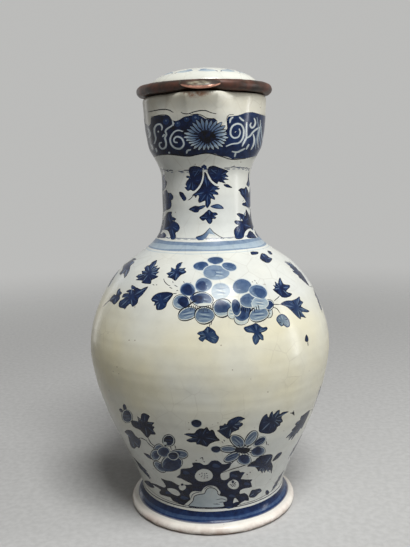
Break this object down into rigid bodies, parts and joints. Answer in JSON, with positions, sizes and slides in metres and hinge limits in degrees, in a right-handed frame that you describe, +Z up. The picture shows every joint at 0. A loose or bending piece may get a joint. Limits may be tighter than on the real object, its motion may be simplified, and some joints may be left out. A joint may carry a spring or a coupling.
{
  "type": "covered pharmacy pitcher",
  "caption": "Covered pitcher of tin-glazed earthenware: footed ovoid body, narrow neck, wide collar with pulled lip, strap handle and a copper-bound domed lid hinged at the back.",
  "frame": {"origin": "centre of the flat base, on the surface that the pitcher stands on", "axes": "+Z up along the jug's turning axis, -Y towards the pouring lip, +Y towards the handle, +X to the right seen from the lip"},
  "size_m": [0.149, 0.1592, 0.2734],
  "materials": {
    "faience": "gloss",
    "copper": "satin",
    "putty": "matte"
  },
  "bodies": {
    "jug": {"jug_body": "faience", "handle": "faience", "handle_band": "copper", "band_rivet": "copper", "handle_hinge_leaf": "copper", "hinge_pin": "copper"},
    "lid": {"lid_dome": "faience", "lid_ring": "copper", "lid_bedding": "putty", "spout_hood": "copper", "lid_hinge_leaf": "copper", "thumbpiece": "copper"}
  },
  "joints": [
    {"name": "lid_hinge", "type": "hinge", "parent": "jug", "child": "lid", "pos_m": [0, 0.045, 0.2564], "axis": [-1, 0, 0], "range_deg": [0, 105]}
  ]
}
